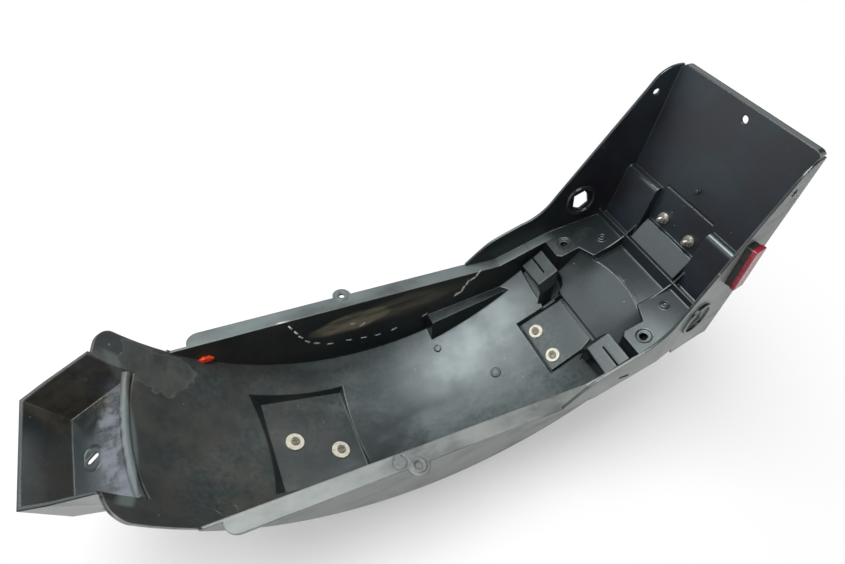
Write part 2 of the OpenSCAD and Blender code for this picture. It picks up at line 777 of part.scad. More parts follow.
// Jagged split down the far wall
module split_line() {
  for (p = [[136, 111, 52, 14], [128, 103.5, 25, 12], [119.5, 99, 62, 12], [113.5, 89, 70, 12],
    [106, 82.5, 22, 12]])
    translate([p[0], half_w + 1, p[1]]) rotate([0, -p[2], 0])
      cube([p[3], 12, 1.1], center = true);
}

module mudguard_body() {
  color([0.07, 0.07, 0.075]) translate(home) {
    difference() {
      union() {
        difference() {
          union() {
            arch_floor();
            trough_walls();
          }
          scoop_shape(0);
          pad_a_frame() pad_a_shape(0);
          pad_b_frame() translate([0, 0, -moat_d]) linear_extrude(moat_d + 30) pad_b_plan(moat_w);
          both_sides() intersection() {
            translate([0, 0, 20]) linear_extrude(130) pocket_plan(0);
            cube([300, half_w, 200]);
          }
          // floor stops at the recess
          across(2 * rib_y)
            polygon([[262, recess_z - 6.6], [rib_x, recess_z + 11], [rib_x, 200], [262, 200]]);
        }
        floor_pads();
        tongue_pockets();
        wall_steps();
        tab_walls();
        floor_marks();
      }
      worn_cuts();
      split_line();
      pad_a_holes();
      strip_grooves();
      // low sill between each pocket and the groove round the rear pad
      both_sides() intersection() {
        translate([pocket_front + 3, pad_b_w + moat_w - 1.4, 30]) cube([25, 5.6, 90]);
        wheel_space(6);
      }
    }
    ledges();
    scoop();
    crest();
    tail_box();
    tail_foot();
  }
}

module washer(r, t, bore) {
  difference() {
    cylinder(r = r, h = t);
    translate([0, 0, -1]) cylinder(r = bore, h = t + 2, $fn = 48);
  }
}

// Screw standing on the face it clamps, pointing down
module screw(l) {
  difference() {
    union() {
      translate([0, 0, -l]) cylinder(r = screw_r, h = l + 0.5, $fn = 48);
      cylinder(r = head_r, h = head_h, $fn = 64);
    }
    translate([0, 0, head_h - 1.3]) for (a = [0, 90]) rotate([0, 0, a])
      translate([-3, -0.6, 0]) cube([6, 1.2, 3]);
  }
}

module hex_nut(af, h, bore) {
  difference() {
    cylinder(r = af / sqrt(3), h = h, $fn = 6);
    translate([0, 0, -1]) cylinder(r = bore, h = h + 2, $fn = 48);
  }
}

module pad_a_spots() {
  for (p = screw_a_at) pad_a_frame() translate([p[0], p[1], 0]) children();
}

module pad_b_spots() {
  for (s = [-1, 1]) pad_b_frame() translate([screw_b_x, s * screw_b_y - 2.6, 0]) children();
}

module front_pad_washers() {
  color([0.9, 0.89, 0.84]) translate(home) pad_a_spots() washer(washer_a_r, washer_t, screw_r + shank_gap);
}

module front_pad_screws() {
  color([0.6, 0.58, 0.5]) translate(home) pad_a_spots() translate([0, 0, washer_t]) screw(screw_l);
}

module front_pad_nuts() {
  color([0.5, 0.5, 0.48]) translate(home) pad_a_spots() translate([0, 0, -wall - pad_nut_h])
    hex_nut(pad_nut_af, pad_nut_h, screw_r + thread_gap);
}

module rear_pad_washers() {
  color([0.9, 0.89, 0.84]) translate(home) pad_b_spots() washer(washer_b_r, washer_t, screw_r + shank_gap);
}

module rear_pad_screws() {
  color([0.6, 0.58, 0.5]) translate(home) pad_b_spots() translate([0, 0, washer_t]) screw(screw_l);
}

module rear_pad_nuts() {
  color([0.5, 0.5, 0.48]) translate(home) pad_b_spots() translate([0, 0, -wall - pad_nut_h])
    hex_nut(pad_nut_af, pad_nut_h, screw_r + thread_gap);
}

module tail_spots() {
  for (s = [-1, 1]) translate([panel_at(bolt_z), s * bolt_y, bolt_z])
    rotate([0, -90 + panel_tilt, 0]) children();
}

module tail_bolts() {
  color([0.62, 0.62, 0.6]) translate(home) tail_spots() {
    translate([0, 0, -wall - 0.5]) cylinder(r = bolt_r, h = wall + bolt_out + 0.5, $fn = 48);
    translate([0, 0, -wall - bolt_head_h]) cylinder(r = nut_af / sqrt(3), h = bolt_head_h, $fn = 6);
  }
}

module tail_washers() {
  color([0.66, 0.66, 0.64]) translate(home) tail_spots()
    washer(tail_washer_r, tail_washer_t, bolt_r + shank_gap);
}

module tail_nuts() {
  color([0.7, 0.7, 0.68]) translate(home) tail_spots() translate([0, 0, tail_washer_t]) {
    hex_nut(nut_af, nut_h, bolt_r + thread_gap);
    // round collar at the foot of the nut
    washer(nut_af * 0.66, 1.2, bolt_r + thread_gap);
  }
}

module refl_frame() {
  translate([refl_x, -side_at(refl_x) - wall, refl_z]) rotate([0, 0, plan_angle])
    rotate([90, 0, 0]) children();
}

module rounded_plate(w, h, t, r) {
  linear_extrude(t) union() {
    square([w - 2 * r, h], center = true);
    square([w, h - 2 * r], center = true);
    for (sx = [-1, 1]) for (sy = [-1, 1])
      translate([sx * (w / 2 - r), sy * (h / 2 - r)]) circle(r = r, $fn = 32);
  }
}

module reflector_base() {
  color([0.05, 0.08, 0.07]) translate(home) refl_frame() union() {
    translate([0, 0, 0.35]) rounded_plate(refl_w - 1.5, refl_h - 1.5, refl_base_t - 0.35, 1.6);
    translate([1, -refl_h / 2 + 3, 0.35]) cylinder(r = 4.6, h = refl_base_t - 1.4, $fn = 48);
  }
}

module reflector_lens() {
  color([0.62, 0.05, 0.12]) translate(home) refl_frame() translate([0, 0, refl_base_t]) union() {
    rounded_plate(refl_w, refl_h, refl_lens_t, 2);
  }
}

mudguard_body();
front_pad_washers();
front_pad_screws();
front_pad_nuts();
rear_pad_washers();
rear_pad_screws();
rear_pad_nuts();
tail_bolts();
tail_washers();
tail_nuts();
reflector_base();
reflector_lens();
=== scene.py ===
"""Dresses a rear inner mudguard: plastic, worn slits, paint drop, fasteners, reflector and studio"""

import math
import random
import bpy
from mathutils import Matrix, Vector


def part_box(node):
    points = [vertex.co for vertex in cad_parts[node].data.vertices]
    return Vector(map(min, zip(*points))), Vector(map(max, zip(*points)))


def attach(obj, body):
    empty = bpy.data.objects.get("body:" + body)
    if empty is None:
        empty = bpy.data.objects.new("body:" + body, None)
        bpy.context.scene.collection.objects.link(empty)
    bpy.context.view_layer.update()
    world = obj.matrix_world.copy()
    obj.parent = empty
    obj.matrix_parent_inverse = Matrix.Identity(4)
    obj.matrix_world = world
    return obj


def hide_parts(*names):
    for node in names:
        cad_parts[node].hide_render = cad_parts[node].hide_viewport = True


bl_info = {
    "name": "Rear Inner Mudguard",
    "version": (1, 0, 0),
    "blender": (4, 5, 0),
    "location": "View3D > Sidebar > Mudguard",
    "description": "Finishes and small pieces of a rear inner mudguard with a number plate panel",
    "category": "Object",
}

import bmesh
import bpy
from bpy.props import FloatProperty, FloatVectorProperty, IntProperty, PointerProperty
from mathutils import Matrix, Vector, noise

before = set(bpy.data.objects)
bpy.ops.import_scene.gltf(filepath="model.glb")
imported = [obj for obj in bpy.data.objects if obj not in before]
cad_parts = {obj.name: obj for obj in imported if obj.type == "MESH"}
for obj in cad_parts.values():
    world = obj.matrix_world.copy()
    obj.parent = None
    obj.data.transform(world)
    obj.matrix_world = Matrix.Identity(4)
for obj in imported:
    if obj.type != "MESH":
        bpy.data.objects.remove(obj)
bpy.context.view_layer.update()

MM = 0.001
BODY = "root"

# Lean of the plate panel and turn of the side wall that carries the reflector, in radians
PANEL_TILT = math.atan(0.107)
REFLECTOR_TURN = math.atan(0.1783)

# Inner face of the far wall
FAR_WALL_Y = 101 * MM

# Worn slits of the far wall: place along the part and height in millimetres, slope in degrees
WORN_SLITS = [
    (-122.8, 129.6, 66), (-117.8, 116, 68), (-113.8, 105, 60), (-107.3, 92, 48), (-96.3, 82, 30),
    (-79.8, 71, 22), (-54.8, 65, 20), (-34.3, 59, 16), (-14.5, 54, 8), (9.2, 54, -10),
    (-45.8, 96.5, 8), (-33.8, 88, -30), (55.2, 61, -25),
]
# Jagged split of the far wall: place along the part and height, slope in degrees, length
SPLIT_PARTS = [
    (135.2, 111, 52, 14), (127.2, 103.5, 25, 12), (118.7, 99, 62, 12), (112.7, 89, 70, 12),
    (105.2, 82.5, 22, 12),
]
# Round ejector marks of the arch floor: place along and across, inner and outer radius of the
# rim, and the height inside it, in millimetres
EJECTOR_MARKS = [(116.2, 1, 4.6, 7.4, 1.05), (61.3, 70.2, 3.6, 5.6, 1.5)]
DROP_PLACE = Vector((-223.8 * MM, FAR_WALL_Y - 1.2 * MM, 125.5 * MM))

# Borders of the body's zones, in metres along it: where a zone's strength is nought, where it is
# one, and for the tail's dust the strengths at both ends
TAIL_START = (0.24, 0.275)
PANEL_START = (0.2, 0.31)
PANEL_MATT = (0.3, 0.33)
TAIL_DUST = (0.222, 0.19, 0.1, 1)
SMUDGES_REAR = (0.2, 0.15)
SMUDGES_FRONT = (-0.2, -0.1)
FRONT_START = (-0.05, -0.2)
FLANGE_END = (0.255, 0.235)
SCOOP_START = (-0.298, -0.302)
SCOOP_HAZE_START = (-0.2975, -0.3005)
CREST_FRONT = (-0.3035, -0.2985)
CREST_REAR = (-0.292, -0.2945)
SLITS_FRONT = (-0.14, -0.13)
SLITS_REAR = (0.07, 0.06)

# Borders across the body, in metres from its middle
FLANGE_INNER = (0.0995, 0.1015)
OUTER_WALL = (0.1015, 0.1035)
SCOOP_SIDE = (0.082, 0.076)
CREST_SIDE = (0.085, 0.08)
NEAR_WALL = (-0.06, -0.075)
NEAR_HALF = (0, -0.05)
SLITS_INNER = (0.1012, 0.1016)
SLITS_OUTER = (0.1036, 0.1032)
SLITS_FOOT = (0.04, 0.045)
# The flange falls towards the tail, so this border is a height plus a share of the place along it
SLITS_TOP = (0.1, 0.095)
FLANGE_FALL = 0.35

# Regions of the body: centre, radii, raggedness, scale of the border, softness
SCOOP_HAZE = ((-0.304, -0.008, 0.178), (0.0225, 0.085, 0.02), 0.16, 50, 0.45)
SCOOP_SMEAR = ((-0.335, 0.062, 0.2), (0.05, 0.03, 0.05), 0.2, 45, 0.8)
CORNER_FILM = ((-0.252, 0.074, 0.165), (0.046, 0.026, 0.05), 0.5, 24, 0.06)
CORNER_FILM_CORE = ((-0.252, 0.074, 0.165), (0.044, 0.0245, 0.048), 0.5, 24, 0.1)
WALL_STAIN = ((0.0, 0.102, 0.105), (0.2, 0.012, 0.05), 0.15, 30, 0.8)
# The rubbed band below is partly a painted reflection
RUBBED_REFLECTION_CORE = ((-0.045, 0.1, 0.1), (0.052, 0.006, 0.017), 0.12, 36, 0.4)
RUBBED_REFLECTION_TRAIL = ((0.02, 0.1, 0.099), (0.075, 0.006, 0.017), 0.2, 36, 0.9)

# Second colours of the patchy finishes
PANEL_BLUE = (0.014, 0.021, 0.03)
SLIT_PALE = (0.8, 0.78, 0.74)
TORN_DULL = (0.5, 0.48, 0.43)
TORN_PALE = (0.86, 0.85, 0.82)
WASHER_GRIME = (0.2, 0.17, 0.12)
ZINC_BLOOM = (0.26, 0.24, 0.21)
LENS_FILM = (0.36, 0.1, 0.12)
BACK_DULL = (0.06, 0.06, 0.055)
DROP_PALE = (1.0, 0.12, 0.04)

# Radii of the softened edges of the small pieces
METAL_EDGE = 0.4 * MM
REFLECTOR_EDGE = 0.6 * MM

# Softboxes: name, width and height, place, and the setting that holds the brightness
SOFTBOXES = [
    ("overhead_softbox", (1.5, 1.05), (-0.28, 0.17, 1.8), "overhead"),
    ("window_softbox", (1.2, 1.2), (-1.5, 1.1, 1.3), "window"),
    ("rear_softbox", (1.2, 1.2), (1.5, 1.0, 1.3), "rear"),
    ("low_softbox", (1.6, 0.5), (-0.3, -1.5, 0.45), "low"),
]
SOFTBOX_AIM = Vector((0, 0, 0.1))

# The floor's own glow, for rays that see it as a backdrop: near and far distance from the middle,
# and the share of the glow at each
FLOOR_GLOW = (0.2, 0.75, 0.42, 1)
FLOOR_HALF = 5

# Camera axes, solved from the photographed object
CAMERA_RIGHT = Vector((0.91267, -0.40869, 0))
CAMERA_BACK = Vector((-0.26794, -0.59835, 0.75511))


class PlasticFinish(bpy.types.PropertyGroup):
    """Colours and gloss of the moulded plastic"""

    plastic: FloatVectorProperty(
        name="Plastic", description="Colour of the clean black plastic", subtype="COLOR",
        size=3, min=0, max=1, default=(0.0125, 0.0165, 0.0175))
    dust: FloatVectorProperty(
        name="Dust", description="Colour of the dry dust on the upper faces", subtype="COLOR",
        size=3, min=0, max=1, default=(0.15, 0.182, 0.182))
    # Chalk serves the weathered flanges and the specks, and also the painted light on the near side and
    # underneath
    chalk: FloatVectorProperty(
        name="Chalk", description="Colour of the weathered outer faces", subtype="COLOR",
        size=3, min=0, max=1, default=(0.3, 0.31, 0.29))
    haze: FloatVectorProperty(
        name="Scoop haze", description="Colour of the chalky haze in the scoop", subtype="COLOR",
        size=3, min=0, max=1, default=(0.17, 0.18, 0.215))
    soil: FloatVectorProperty(
        name="Road film", description="Colour of the brown road film", subtype="COLOR",
        size=3, min=0, max=1, default=(0.115, 0.095, 0.07))
    # Painted shade: the dark colour laid inside the scoop
    painted_scoop_shade: FloatVectorProperty(
        name="Painted scoop shade", description="Colour of the dark plastic inside the scoop", subtype="COLOR",
        size=3, min=0, max=1, default=(0.004, 0.008, 0.01))
    panel: FloatVectorProperty(
        name="Plate panel", description="Colour of the plastic of the plate panel", subtype="COLOR",
        size=3, min=0, max=1, default=(0.011, 0.0085, 0.0135))
    film: FloatVectorProperty(
        name="Dried film", description="Colour of the thin film on the front corner", subtype="COLOR",
        size=3, min=0, max=1, default=(0.095, 0.105, 0.09))
    # Partly tyre rub, partly a painted reflection on the far wall
    rubbed: FloatVectorProperty(
        name="Rubbed band", description="Colour of the band rubbed by the tyre", subtype="COLOR",
        size=3, min=0, max=1, default=(0.42, 0.35, 0.24))
    scuff: FloatVectorProperty(
        name="Scuff", description="Colour of rubbed and frayed plastic", subtype="COLOR",
        size=3, min=0, max=1, default=(0.36, 0.33, 0.28))
    gloss: FloatProperty(
        name="Roughness", description="Roughness of the clean plastic", subtype="FACTOR",
        min=0, max=1, default=0.34)
    grain: FloatProperty(
        name="Grain", description="Depth of the fine moulded grain", subtype="FACTOR",
        min=0, max=1, default=0.02)
    ring_rise: FloatProperty(
        name="Ring rise", description="Height of the ejector rings over the mark inside", unit="LENGTH",
        min=0.0003, max=0.002, default=0.0007)
    edge: FloatProperty(
        name="Edge radius", description="Radius of the soft moulded edges", unit="LENGTH",
        min=0, max=0.005, default=0.0022)


class FastenerFinish(bpy.types.PropertyGroup):
    """Colours and sizes of the screws, washers, nuts and bolts"""

    washer: FloatVectorProperty(
        name="Washer", description="Colour of the pale pad washers", subtype="COLOR",
        size=3, min=0, max=1, default=(0.66, 0.64, 0.53))
    rust: FloatVectorProperty(
        name="Rust", description="Colour of the rust on the pad screws", subtype="COLOR",
        size=3, min=0, max=1, default=(0.13, 0.105, 0.08))
    # Screw colour, kept dark partly as painted shade of the socket recesses
    socket: FloatVectorProperty(
        name="Screw", description="Colour of the aged pad screws", subtype="COLOR",
        size=3, min=0, max=1, default=(0.24, 0.23, 0.19))
    steel: FloatVectorProperty(
        name="Steel", description="Colour of the plated steel", subtype="COLOR",
        size=3, min=0, max=1, default=(0.6, 0.58, 0.54))
    shank: FloatProperty(
        name="Bolt radius", description="Radius of the tail bolt shanks", unit="LENGTH",
        min=0.001, max=0.006, default=0.003)
    pitch: FloatProperty(
        name="Thread pitch", description="Pitch of the tail bolt threads", unit="LENGTH",
        min=0.0005, max=0.002, default=0.001)
    reach: FloatProperty(
        name="Bolt reach", description="Reach of the tail bolts in front of the panel", unit="LENGTH",
        min=0.005, max=0.02, default=0.0105)
    head: FloatProperty(
        name="Head height", description="Height of the tail bolt heads", unit="LENGTH",
        min=0.002, max=0.006, default=0.004)
    flats: FloatProperty(
        name="Across flats", description="Size of the tail bolt heads across flats", unit="LENGTH",
        min=0.006, max=0.014, default=0.01)
    wall: FloatProperty(
        name="Panel thickness", description="Thickness of the panel the bolts pass through",
        unit="LENGTH", min=0.001, max=0.005, default=0.003)


class ReflectorFinish(bpy.types.PropertyGroup):
    """Colours and sizes of the side reflector"""

    lens: FloatVectorProperty(
        name="Lens", description="Colour of the red lens", subtype="COLOR",
        size=3, min=0, max=1, default=(0.27, 0.008, 0.028))
    back: FloatVectorProperty(
        name="Back", description="Colour of the reflector's back", subtype="COLOR",
        size=3, min=0, max=1, default=(0.012, 0.016, 0.014))
    rim: FloatProperty(
        name="Lens rim", description="Width of the plain rim round the prisms", unit="LENGTH",
        min=0.0005, max=0.004, default=0.0018)
    corner: FloatProperty(
        name="Corner radius", description="Radius of the lens corners", unit="LENGTH",
        min=0.0005, max=0.005, default=0.002)
    prism: FloatProperty(
        name="Prism size", description="Distance from one prism to the next", unit="LENGTH",
        min=0.001, max=0.004, default=0.0022)


class WearSizes(bpy.types.PropertyGroup):
    """Sizes of the frayed plastic round the worn slits"""

    slit_length: FloatProperty(
        name="Slit length", description="Length of the worn slits", unit="LENGTH",
        min=0.004, max=0.014, default=0.009)
    slit_width: FloatProperty(
        name="Slit width", description="Width of the worn slits", unit="LENGTH",
        min=0.001, max=0.003, default=0.002)
    fray: FloatProperty(
        name="Slit fray", description="Radius of the frayed bead along a worn slit", unit="LENGTH",
        min=0.0002, max=0.0015, default=0.0005)
    split_fray: FloatProperty(
        name="Split fray", description="Radius of the frayed bead along the split", unit="LENGTH",
        min=0.0002, max=0.002, default=0.0013)
    split_width: FloatProperty(
        name="Split width", description="Width of the split", unit="LENGTH",
        min=0.0005, max=0.003, default=0.0011)
    drop_length: FloatProperty(
        name="Drop length", description="Length of the paint drop", unit="LENGTH",
        min=0.005, max=0.02, default=0.017)
    drop_height: FloatProperty(
        name="Drop height", description="Height of the paint drop", unit="LENGTH",
        min=0.004, max=0.015, default=0.0105)
    drop_bulge: FloatProperty(
        name="Drop bulge", description="Thickness of the paint drop, half of it in the wall",
        unit="LENGTH", min=0.001, max=0.01, default=0.005)
    drop_colour: FloatVectorProperty(
        name="Drop colour", description="Colour of the paint drop", subtype="COLOR",
        size=3, min=0, max=1, default=(1.0, 0.05, 0.012))
    seed: IntProperty(
        name="Seed", description="Seed of the ragged shapes", min=0, default=7)


class StudioSettings(bpy.types.PropertyGroup):
    """Camera, lights and floor"""

    focal: FloatProperty(
        name="Focal length", description="Focal length of the camera in millimetres",
        min=10, max=100, default=23.86)
    camera: FloatVectorProperty(
        name="Camera", description="Place of the camera", subtype="TRANSLATION", unit="LENGTH",
        size=3, default=(-0.14106, -0.32975, 0.67541))
    overhead: FloatProperty(
        name="Overhead light", description="Brightness of the softbox above", min=0, max=12, default=8.0)
    window: FloatProperty(
        name="Window light", description="Brightness of the softbox beyond the scoop", min=0, max=10,
        default=1.7)
    rear: FloatProperty(
        name="Rear light", description="Brightness of the softbox beyond the plate panel", min=0, max=10,
        default=0.9)
    low: FloatProperty(
        name="Low light", description="Brightness of the low softbox on the reflector's side", min=0,
        max=10, default=0.6)
    ambient: FloatProperty(
        name="Ambient light", description="Brightness of the room", min=0, max=2, default=0.17)
    floor: FloatVectorProperty(
        name="Floor", description="Colour of the floor", subtype="COLOR",
        size=3, min=0, max=1, default=(0.88, 0.88, 0.88))


class Finish:
    """Lays out the nodes of one material"""

    def __init__(self, name):
        self.material = bpy.data.materials.new(name)
        self.material.use_nodes = True
        self.tree = self.material.node_tree
        self.tree.nodes.clear()
        self.output = self.add("ShaderNodeOutputMaterial")
        self.shader = self.add("ShaderNodeBsdfPrincipled")
        self.join(self.shader.outputs[0], self.output.inputs[0])
        coordinates = self.add("ShaderNodeTexCoord")
        self.place = coordinates.outputs["Object"]
        self.facing = coordinates.outputs["Normal"]

    def add(self, kind, **settings):
        node = self.tree.nodes.new(kind)
        for name, value in settings.items():
            setattr(node, name, value)
        return node

    def join(self, source, target):
        if isinstance(source, bpy.types.NodeSocket):
            self.tree.links.new(source, target)
        elif target.type == "RGBA":
            target.default_value = (*source, 1)
        else:
            target.default_value = source

    def set(self, **sockets):
        for name, value in sockets.items():
            self.join(value, self.shader.inputs[name.replace("_", " ")])

    def moved(self, scale=(1, 1, 1), shift=(0, 0, 0)):
        mapping = self.add("ShaderNodeMapping")
        self.join(self.place, mapping.inputs["Vector"])
        mapping.inputs["Scale"].default_value = scale
        mapping.inputs["Location"].default_value = shift
        return mapping.outputs[0]

    def cloud(self, scale, detail=3.0, rough=0.55, stretch=(1, 1, 1), shift=(0, 0, 0)):
        """Soft noise; a scale of 100 gives spots of about a centimetre"""
        grain = self.add("ShaderNodeTexNoise")
        self.join(self.moved(stretch, shift), grain.inputs["Vector"])
        grain.inputs["Scale"].default_value = scale
        grain.inputs["Detail"].default_value = detail
        grain.inputs["Roughness"].default_value = rough
        return grain.outputs["Fac"]

    def specks(self, scale, size):
        """Round specks, one in each cell of a scattered pattern; size is a share of the cell"""
        cells = self.add("ShaderNodeTexVoronoi")
        self.join(self.place, cells.inputs["Vector"])
        cells.inputs["Scale"].default_value = scale
        return self.between(cells.outputs["Distance"], size, size * 0.6)

    def between(self, value, low, high, out_low=0.0, out_high=1.0):
        ramp = self.add("ShaderNodeMapRange", interpolation_type="SMOOTHSTEP")
        self.join(value, ramp.inputs["Value"])
        ramp.inputs["From Min"].default_value = low
        ramp.inputs["From Max"].default_value = high
        ramp.inputs["To Min"].default_value = out_low
        ramp.inputs["To Max"].default_value = out_high
        return ramp.outputs[0]

    def maths(self, operation, first, second=0.5):
        node = self.add("ShaderNodeMath", operation=operation)
        self.join(first, node.inputs[0])
        self.join(second, node.inputs[1])
        return node.outputs[0]

    def times(self, *values):
        result = values[0]
        for value in values[1:]:
            result = self.maths("MULTIPLY", result, value)
        return result

    def colour(self, amount, first, second):
        node = self.add("ShaderNodeMix", data_type="RGBA")
        self.join(amount, node.inputs["Factor"])
        self.join(first, node.inputs[6])
        self.join(second, node.inputs[7])
        return node.outputs[2]

    def level(self, amount, first, second):
        node = self.add("ShaderNodeMix", data_type="FLOAT")
        self.join(amount, node.inputs["Factor"])
        self.join(first, node.inputs[2])
        self.join(second, node.inputs[3])
        return node.outputs[0]

    def patch(self, centre, radii, ragged=0.35, scale=70, soft=0.35):
        """One inside an egg-shaped region with a ragged border, nought outside, in metres"""
        squeeze = tuple(1 / r for r in radii)
        shift = tuple(-c / r for c, r in zip(centre, radii))
        length = self.add("ShaderNodeVectorMath", operation="LENGTH")
        self.join(self.moved(squeeze, shift), length.inputs[0])
        wobble = self.maths("SUBTRACT", self.cloud(scale), 0.5)
        reach = self.maths("ADD", length.outputs["Value"], self.maths("MULTIPLY", wobble, ragged * 4))
        return self.between(reach, 1 + soft / 2, 1 - soft / 2)

    def part_of_facing(self, axis):
        """How far the surface looks along one axis, from minus one to one"""
        split = self.add("ShaderNodeSeparateXYZ")
        self.join(self.facing, split.inputs[0])
        return split.outputs[axis]

    def part_of_place(self, axis):
        """Place along one axis, in metres"""
        split = self.add("ShaderNodeSeparateXYZ")
        self.join(self.place, split.inputs[0])
        return split.outputs[axis]

    def edge_wear(self, radius):
        """One on sharp edges, nought on flat faces"""
        soft = self.add("ShaderNodeBevel", samples=4)
        soft.inputs["Radius"].default_value = radius
        true_face = self.add("ShaderNodeNewGeometry").outputs["Normal"]
        dot = self.add("ShaderNodeVectorMath", operation="DOT_PRODUCT")
        self.join(soft.outputs[0], dot.inputs[0])
        self.join(true_face, dot.inputs[1])
        return self.between(dot.outputs["Value"], 0.995, 0.86)

    def relief(self, height, depth, strength=1.0, below=None):
        """Surface relief of the given depth in metres, laid over another relief"""
        bump = self.add("ShaderNodeBump")
        bump.inputs["Strength"].default_value = strength
        bump.inputs["Distance"].default_value = depth
        self.join(height, bump.inputs["Height"])
        if below is not None:
            self.join(below, bump.inputs["Normal"])
        return bump.outputs[0]

    def soft_edges(self, radius):
        soft = self.add("ShaderNodeBevel", samples=8)
        soft.inputs["Radius"].default_value = radius
        return soft.outputs[0]


class BodyFinish(Finish):
    """Black moulded plastic with dust, haze, road film, rubbed patches and scratches, zone by zone, with
    painted shade in the scoop, painted light on the near side and underneath, and a painted reflection
    on the far wall
    """

    def __init__(self, look):
        super().__init__("body_plastic")
        self.look = look
        self.up = self.part_of_facing("Z")
        self.aside_facing = self.part_of_facing("Y")
        self.along = self.part_of_place("X")
        self.across = self.part_of_place("Y")
        self.height = self.part_of_place("Z")
        self.aside = self.maths("ABSOLUTE", self.across)
        self.fine = self.cloud(160, 5, 0.65)
        self.base = look.plastic
        self.rough = look.gloss

    def tint(self, amount, colour):
        self.base = self.colour(amount, self.base, colour)

    def dull(self, amount, roughness):
        self.rough = self.level(amount, self.rough, roughness)

    def lay_clean_plastic(self):
        """The plate panel and the steep faces of the tail are faintly purple with bluish clouds"""
        bluish = self.colour(
            self.between(self.cloud(13, 4, 0.6), 0.42, 0.66), self.look.panel, PANEL_BLUE)
        steep = self.between(self.up, 0.6, 0.3)
        self.tint(self.times(self.between(self.along, *PANEL_START), steep), bluish)

    def lay_dust(self):
        """Dry dust settles in clouds on faces that look up, and hardly in the tail"""
        clouds = self.times(
            self.between(self.up, 0.15, 0.95), self.between(self.cloud(9, 4, 0.6), 0.36, 0.66),
            self.between(self.fine, 0.2, 0.75), self.between(self.along, *TAIL_DUST))
        self.tint(self.times(clouds, 0.35), self.look.dust)
        self.dull(clouds, self.look.gloss + 0.1)
        uneven = self.between(self.cloud(26, 5, 0.62), 0.3, 0.7, -0.06, 0.06)
        self.rough = self.maths("ADD", self.rough, uneven)

    def lay_tail_gloss(self):
        """Ledges of the tail are glossy and its steep faces matt"""
        ledges = self.times(self.between(self.along, *TAIL_START), self.between(self.up, 0.3, 0.6))
        self.dull(ledges, 0.18)
        steep = self.times(self.between(self.along, *PANEL_MATT), self.between(self.up, 0.6, 0.3))
        self.dull(steep, 0.5)

    def lay_floor_wear(self):
        """Smudges wiped along the arch floor, whose front is duller and browner"""
        smudge = self.times(
            self.between(self.cloud(16, 4, 0.55, (0.4, 1.2, 1)), 0.46, 0.76),
            self.between(self.up, 0.6, 0.9), self.between(self.along, *SMUDGES_REAR),
            self.between(self.along, *SMUDGES_FRONT))
        self.tint(self.times(smudge, 0.45), self.look.dust)
        front = self.between(self.along, *FRONT_START)
        self.tint(self.times(front, self.between(self.cloud(22, 5, 0.6), 0.3, 0.7), 0.3), self.look.soil)
        self.dull(self.times(front, 0.6), 0.55)

    def lay_flange_chalk(self):
        """Weathered flanges, beyond the walls and facing up, paler on the reflector's side"""
        weathered = self.times(
            self.between(self.aside, *FLANGE_INNER), self.between(self.up, 0.88, 0.97),
            self.between(self.cloud(24, 5, 0.6, (0.5, 1, 1)), 0.18, 0.64),
            self.between(self.along, *FLANGE_END))
        chalked = self.colour(self.between(self.across, *NEAR_HALF), self.look.dust, self.look.chalk)
        self.tint(self.times(weathered, 0.66), chalked)
        self.dull(self.times(weathered, 0.8), 0.5)

    def lay_outer_chalk_and_painted_light(self):
        """Outer faces are rubbed dull and dusty; on the reflector's side and underneath they are painted
        paler, partly weathering and partly painted light
        """
        outward = self.times(self.aside_facing, self.maths("SIGN", self.across))
        outer = self.maths(
            "SUBTRACT", self.between(self.aside, *OUTER_WALL), self.between(self.up, 0.4, 0.8))
        outer = self.maths("MAXIMUM", self.times(outer, self.between(outward, -0.1, 0.2)), 0.0)
        outer = self.times(outer, self.between(self.cloud(34, 5, 0.62, (0.7, 1, 2)), 0.2, 0.62))
        self.tint(self.times(outer, 0.8), self.look.dust)
        # Painted light: the near side and the faces underneath are painted chalky pale, standing in for
        # light falling on them, partly weathering too
        near_side_painted_light = self.times(
            self.between(self.aside_facing, -0.35, -0.75), self.between(self.across, *NEAR_WALL),
            self.between(self.cloud(30, 5, 0.62, (0.6, 1, 1.8)), 0.1, 0.6))
        below = self.times(self.between(self.up, -0.3, -0.7), self.between(self.across, *NEAR_HALF))
        near_side_painted_light = self.maths("MAXIMUM", near_side_painted_light, self.times(below, 0.6))
        self.tint(self.times(near_side_painted_light, 0.85), self.look.chalk)
        self.dull(self.times(outer, 0.6), 0.55)

    def lay_scoop(self):
        """The scoop is darkened inside as painted shade, with a dusty crest, chalky haze on its floor
        and brown smears
        """
        # Painted shade: the inside of the scoop is darkened, standing in for the shade cast by its walls
        inside = self.times(
            self.between(self.along, *SCOOP_START), self.between(self.aside, *SCOOP_SIDE))
        self.tint(self.times(inside, self.between(self.up, 0.3, 0.8), 0.85), self.look.painted_scoop_shade)
        self.dull(inside, 0.27)
        crest = self.times(
            self.between(self.along, *CREST_FRONT), self.between(self.along, *CREST_REAR),
            self.between(self.aside, *CREST_SIDE))
        self.tint(self.times(crest, 0.6), self.look.dust)
        self.dull(crest, 0.6)
        hollow = self.times(self.patch(*SCOOP_HAZE), self.between(self.along, *SCOOP_HAZE_START))
        blotch = self.between(self.cloud(60, 5, 0.62, shift=(3.1, 0.4, 1.7)), 0.36, 0.6)
        haze = self.times(hollow, blotch, self.between(self.fine, 0.0, 0.6))
        self.tint(self.times(haze, 0.8), self.look.haze)
        self.dull(haze, 0.75)
        smear = self.times(self.patch(*SCOOP_SMEAR), self.between(self.cloud(52, 5, 0.6), 0.35, 0.65))
        self.tint(self.times(smear, 0.45), self.look.soil)

